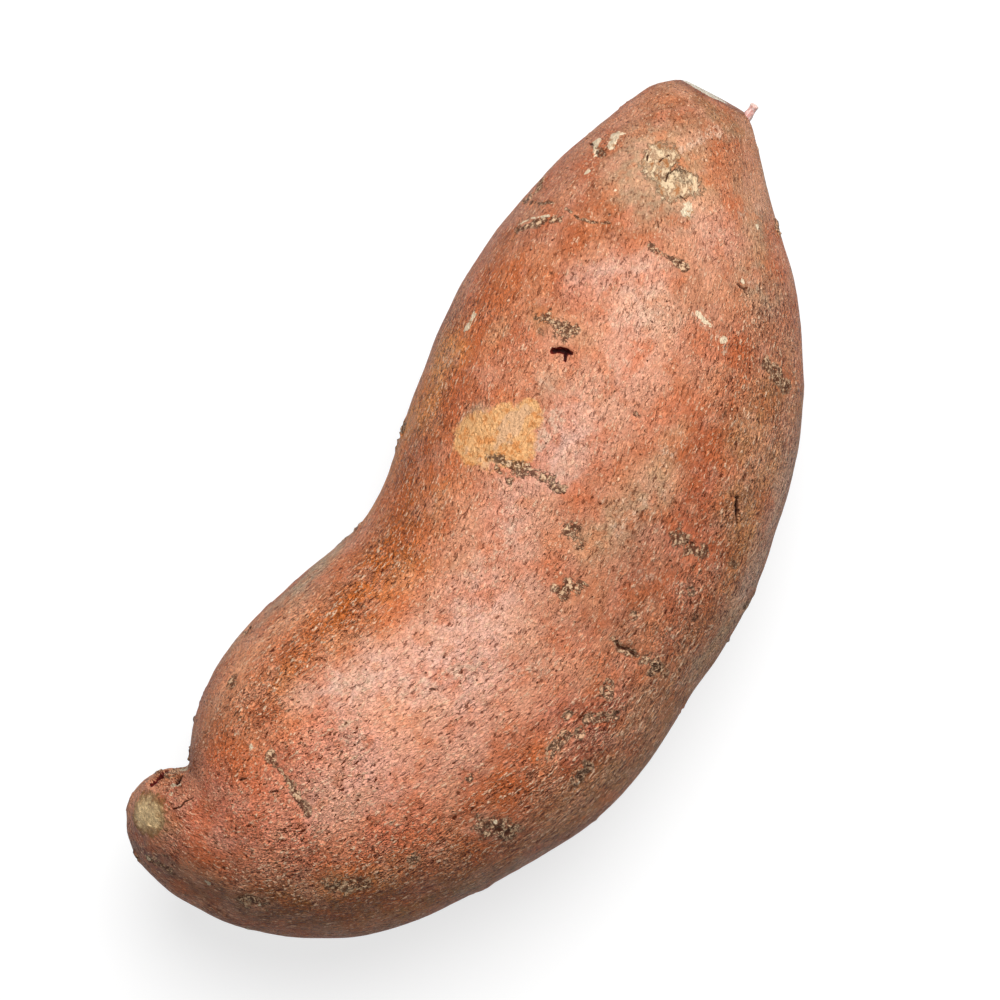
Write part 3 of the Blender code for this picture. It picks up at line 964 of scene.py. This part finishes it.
# Chips: pale slivers of lifting skin, most where it is coarse, painted bright as a painted
# highlight on their raised tops. Nicks: short dark cuts, sunk into the bump and painted dark,
# partly their own colour and partly painted shade.
coarseness = (grit_layer - 1.0) * 0.014
chip = (fine + coarseness).rising(0.59, 0.62) * granules.rising(0.42, 0.54)
skin.coat(paint(252, 208, 172), chip * (grit_layer * 0.45 + 0.22))
nick = fine.falling(0.375, 0.405) * fibres.falling(0.46, 0.6)
skin.coat(paint(98, 40, 14), nick * grit_layer * 0.75)

# Lenticels: short dark dashes along the grain, each a shallow pit with a pale rim painted
# all round it as a painted highlight. Round dark pores lie among them.
middle, luck = skin.cells(loose_grain.stretched((0.32, 1, 1)), 0.8)
depth = (grit_layer - 0.35).held(0.0, 1.1)
reach = luck.rising(0.1, 1.0) * depth * 0.22
inside = reach - middle
dash = inside.rising(0.0, 0.05)
# The pale rim round each dash: painted highlight.
edge = inside.rising(-0.14, -0.02) * reach.rising(0.05, 0.15)
skin.coat(paint(236, 182, 138), edge * 0.22)
pore_middle, pore_luck = skin.cells(place, 1.7)
pore_reach = pore_luck.rising(0.45, 1.0) * 0.15
pore = (pore_reach - pore_middle).rising(0.0, 0.04)
opening = skin.add("Math", {0: dash, 1: pore}, operation="MAXIMUM")
skin.coat(paint(84, 36, 16), opening * 0.85)

bits = skin.grains(place, 0.9, 3.0, 0.7)
uneven = (bits - 0.5) * 1.5


def frayed(name, amount):
    """The layer of a kind of mark, with the soft noise that frays the mark's edge."""
    return skin.layer(name) + uneven * amount


# Bare stain: flesh dried to amber, with honey-brown mottles and a beige bloom.
honey = mottle.rising(0.45, 0.62)
stain_colour = skin.mixed(honey, paint(236, 180, 122), paint(218, 144, 82))
bloom = blotch.rising(0.53, 0.6)
stain_colour = skin.mixed(bloom, stain_colour, paint(226, 178, 134))
stain_colour = stain_colour.scaled(swing * 0.2 + 1.04)
skin.coat(stain_colour, frayed("stain", 0.25).falling(0.42, 0.56) * 0.92)

# Callus of the blunt root end: olive cork, paler and grainy in the middle.
callus = frayed("callus", 0.4)
paleness = (bits * 1.6 + callus * -1.1).rising(0.2, 0.7)
callus_colour = skin.mixed(paleness, paint(134, 94, 54), paint(228, 200, 150))
callus_colour = skin.mixed(fibres.line(0.07) * 0.45, callus_colour, paint(104, 76, 38))
callus_colour = callus_colour.scaled(swing * 0.35 + 1.05)
skin.coat(callus_colour, callus.falling(0.42, 0.54) * 0.9)

# Corky scabs: pale crumbs between dark winding cracks, with skin showing through.
crumb_place = place.shifted(shake.scaled(1.6))
crumbling = skin.grains(crumb_place, 1.1, 3.0, 0.6)
specks = skin.grains(crumb_place, 0.8, 1.5, 0.7)
crumb_tops = specks.rising(0.44, 0.56)
cork = skin.mixed(crumb_tops, paint(150, 106, 76), paint(226, 190, 152))
gap = (crumbling.line(0.07) + specks.falling(0.4, 0.46)).held(0.0, 1.0)
cork = skin.mixed(gap * 0.9, cork, paint(60, 36, 26))
cover = (bits + skin.layer("scab") * -0.3).rising(0.26, 0.4)
scab = frayed("scab", 1.1).falling(0.33, 0.45) * cover
skin.coat(cork, scab * 0.9)

# Ringed scars: pale broken lips with dark grooves beside them.
ring = frayed("ring", 0.45).falling(0.5, 0.6)
lip = ring * specks.rising(0.4, 0.5)
groove = ring * crumbling.line(0.09)
skin.coat(paint(226, 184, 146), lip * 0.8)
skin.coat(paint(66, 36, 24), groove * 0.85)

# Cream flecks, and crusts of dead skin broken into plates by brown cracks.
cream = skin.mixed(crumbling.rising(0.36, 0.46), paint(190, 140, 96), CREAM)
skin.coat(cream, frayed("fleck", 0.8).falling(0.36, 0.46) * 0.85)
plates = skin.grains(loose_grain.stretched((0.6, 1, 1)), 1.4, 4.0, 0.65)
plate_tops = plates.rising(0.4, 0.49)
crust_colour = skin.mixed(plate_tops, paint(160, 104, 58), paint(228, 202, 164))
crust_colour = skin.mixed(plates.line(0.045) * 0.75, crust_colour, paint(96, 56, 30))
crust_colour = crust_colour.scaled(swing * 0.2 + 1.0)
crust = frayed("crust", 0.6).falling(0.34, 0.5)
skin.coat(crust_colour, crust * 0.8)

# Open pits, splits and holes, dark brown where sunken and near black where they are
# deepest; that near black is painted shade over the dark dried flesh.
slit = frayed("slit", 0.35)
hole = frayed("hole", 0.4)
sunken = slit.falling(0.22, 0.42) + frayed("pit", 0.4).falling(0.15, 0.38)
skin.coat(paint(74, 34, 18), sunken * 0.85)
skin.coat(paint(92, 22, 16), hole.falling(0.46, 0.54))
# Near black in the deepest middles of splits and holes: painted shade.
deep = slit.falling(0.04, 0.2) + hole.falling(0.2, 0.4)
skin.coat(paint(36, 8, 6), deep * 0.9)

# The cut face: dry starchy flesh with a dark dry rim.
cut = frayed("flesh", 0.3)
skin.coat(paint(112, 58, 44), cut.rising(0.06, 0.3) * 0.55)
flesh_colour = skin.mixed(bits.rising(0.35, 0.65), paint(234, 216, 188), paint(246, 238, 222))
skin.coat(flesh_colour, cut.rising(0.5, 0.7))
skin.feed(skin.shader.inputs["Base Color"], skin.colour)

height = (
    fibres * grit_layer * 0.4
    + granules * grit_layer * 0.3
    + fine * grit_layer * 0.35
    + crack * grit_layer * -0.08
    + chip * grit_layer * 0.07
    + nick * grit_layer * -0.09
    + opening * -0.12
    + edge * 0.04
    + scab * crumbling * 0.5
    + crust * plates * 0.7
    + lip * 0.15
    + sunken * -0.15
)
bump = skin.add("Bump", {"Height": height, "Distance": MM, "Strength": 1.0})
skin.feed(skin.shader.inputs["Normal"], bump)
skin.feed(skin.shader.inputs["Roughness"], granules * 0.3 + scab * 0.25 + 0.36)
skin.shader.inputs["Specular IOR Level"].default_value = 0.12
shape.materials.append(skin.material)

body = bpy.data.objects.new("skin_and_flesh", shape)
bpy.context.collection.objects.link(body)
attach(body, "root")
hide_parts("sweet_potato")


# ---------------------------------------------------------------------------------------
# Hair root: the stub of one thin side root beside the stem cut, soft, pink and wrinkled,
# broken off a few millimetres from the skin. It grew out of the body.
# ---------------------------------------------------------------------------------------

HAIR_WAY = ((77.4, 10.6, 27.3), (80.6, 10.2, 28.1), (82.0, 10.1, 28.4), (82.95, 10.1, 28.8))
HAIR_RADII = (1.0, 0.85, 0.74, 0.78)
HAIR_SIDES = 28
HAIR_STEPS = 14
WRINKLES_ROUND = 2.2  # how closely the wrinkles follow each other round it and along it
WRINKLES_ALONG = 0.7
WRINKLE_DEPTH = 0.16
TORN_LOOPS = ((0.85, -0.1), (0.6, 0.02), (0.25, 0.1))  # inset and sink of each


def grow_hair_root():
    """A tapered tube along the way, wrinkled lengthwise, with a torn, slightly open end."""
    rows = [(*place, radius) for place, radius in zip(HAIR_WAY, HAIR_RADII)]
    rows = smooth_rows(rows, HAIR_STEPS)
    tube = bmesh.new()
    loops = []
    for row, following in zip(rows, rows[1:]):
        way = Vector(following[:3] - row[:3]).normalized()
        side = way.cross(Vector((0, 0, 1))).normalized()
        up = side.cross(way)
        loop = []
        for turn in np.arange(HAIR_SIDES) * math.tau / HAIR_SIDES:
            out = side * math.cos(turn) + up * math.sin(turn)
            across = (out.x * WRINKLES_ROUND, out.z * WRINKLES_ROUND)
            wrinkle = noise.noise(Vector((*across, row[0] * WRINKLES_ALONG)))
            outwards = out * row[3] * (1 + WRINKLE_DEPTH * wrinkle)
            loop.append(tube.verts.new(Vector(row[:3]) + outwards))
        loops.append(loop)
    torn_rim = [vert.co for vert in loops[-1]]
    tip_middle = sum(torn_rim, Vector()) / HAIR_SIDES
    for inset, sink in TORN_LOOPS:
        places = [tip_middle.lerp(place, inset) - way * sink for place in torn_rim]
        loops.append([tube.verts.new(place) for place in places])
    for loop, following in zip(loops, loops[1:]):
        for side in range(HAIR_SIDES):
            after = (side + 1) % HAIR_SIDES
            tube.faces.new((loop[side], loop[after], following[after], following[side]))
    tube.faces.new(loops[0])
    tube.faces.new(loops[-1])
    bmesh.ops.recalc_face_normals(tube, faces=tube.faces)
    bmesh.ops.scale(tube, vec=(MM, MM, MM), verts=tube.verts)
    mesh = bpy.data.meshes.new("hair_root")
    tube.to_mesh(mesh)
    tube.free()
    mesh.shade_smooth()
    return mesh


# Pink streaks along it, and a dry pale tip.
hair_skin = Finish("hair_root_skin")
hair_place = hair_skin.place()
hair_streak = hair_skin.grains(hair_place.stretched((0.4, 1, 1)), 0.4, 3.0)
streak_share = hair_streak.rising(0.35, 0.65)
hair_skin.colour = hair_skin.mixed(streak_share, paint(206, 150, 140), paint(236, 206, 198))
along_hair = hair_skin.add("SeparateXYZ", {0: hair_place}, 0)
hair_skin.coat(paint(236, 206, 190), along_hair.rising(82.3, 83.1) * 0.6)
hair_skin.feed(hair_skin.shader.inputs["Base Color"], hair_skin.colour)
hair_bump = hair_skin.add("Bump", {"Height": hair_streak, "Distance": 0.15 * MM, "Strength": 1.0})
hair_skin.feed(hair_skin.shader.inputs["Normal"], hair_bump)
hair_skin.shader.inputs["Roughness"].default_value = 0.45
hair_skin.shader.inputs["Subsurface Weight"].default_value = 0.3
hair_skin.shader.inputs["Subsurface Radius"].default_value = (0.001, 0.0005, 0.0004)

hair_mesh = grow_hair_root()
hair_mesh.materials.append(hair_skin.material)
hair_root = bpy.data.objects.new("hair_root", hair_mesh)
bpy.context.collection.objects.link(hair_root)
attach(hair_root, "root")


# ---------------------------------------------------------------------------------------
# Floor, light and camera: a plain pale table, one big soft lamp overhead and a dim white
# room round it. The camera looks straight down.
# ---------------------------------------------------------------------------------------

FLOOR_SIZE = 4
FLOOR_GREY = (0.32, 0.32, 0.32, 1)
FLOOR_GLOW = 0.72
LAMP_WAY = Vector((0.442, 0.187, 0.877))
LAMP_DISTANCE = 1.1
LAMP_SIZE = 0.9
LAMP_POWER = 16.6
ROOM_LIGHT = 0.17
CAMERA_LENS = 190.6
CAMERA_TURN = math.radians(-57)
WHITE = (1, 1, 1, 1)

bpy.ops.mesh.primitive_plane_add(size=FLOOR_SIZE)
floor = bpy.context.object
floor.name = "floor"
floor_material = bpy.data.materials.new("pale_table")
floor_material.use_nodes = True
floor_shader = floor_material.node_tree.nodes["Principled BSDF"]
floor_shader.inputs["Base Color"].default_value = FLOOR_GREY
floor_shader.inputs["Roughness"].default_value = 0.9
floor_shader.inputs["Emission Color"].default_value = WHITE
floor_shader.inputs["Emission Strength"].default_value = FLOOR_GLOW
floor.data.materials.append(floor_material)
floor.visible_diffuse = False

lamp_data = bpy.data.lights.new("lamp", "AREA")
lamp_data.shape = "DISK"
lamp_data.size = LAMP_SIZE
lamp_data.energy = LAMP_POWER
lamp = bpy.data.objects.new("lamp", lamp_data)
lamp.location = LAMP_WAY * LAMP_DISTANCE
lamp.rotation_euler = LAMP_WAY.to_track_quat("Z", "Y").to_euler()
bpy.context.collection.objects.link(lamp)

room = bpy.data.worlds.new("room")
room.use_nodes = True
room.node_tree.nodes["Background"].inputs["Color"].default_value = WHITE
room.node_tree.nodes["Background"].inputs["Strength"].default_value = ROOM_LIGHT
bpy.context.scene.world = room
bpy.context.scene.view_settings.view_transform = "Standard"

camera_data = bpy.data.cameras.new("camera")
camera_data.lens = CAMERA_LENS
camera = bpy.data.objects.new("camera", camera_data)
camera.location = SEEN_FROM * MM
camera.rotation_euler = (0, 0, CAMERA_TURN)
bpy.context.collection.objects.link(camera)
bpy.context.scene.camera = camera
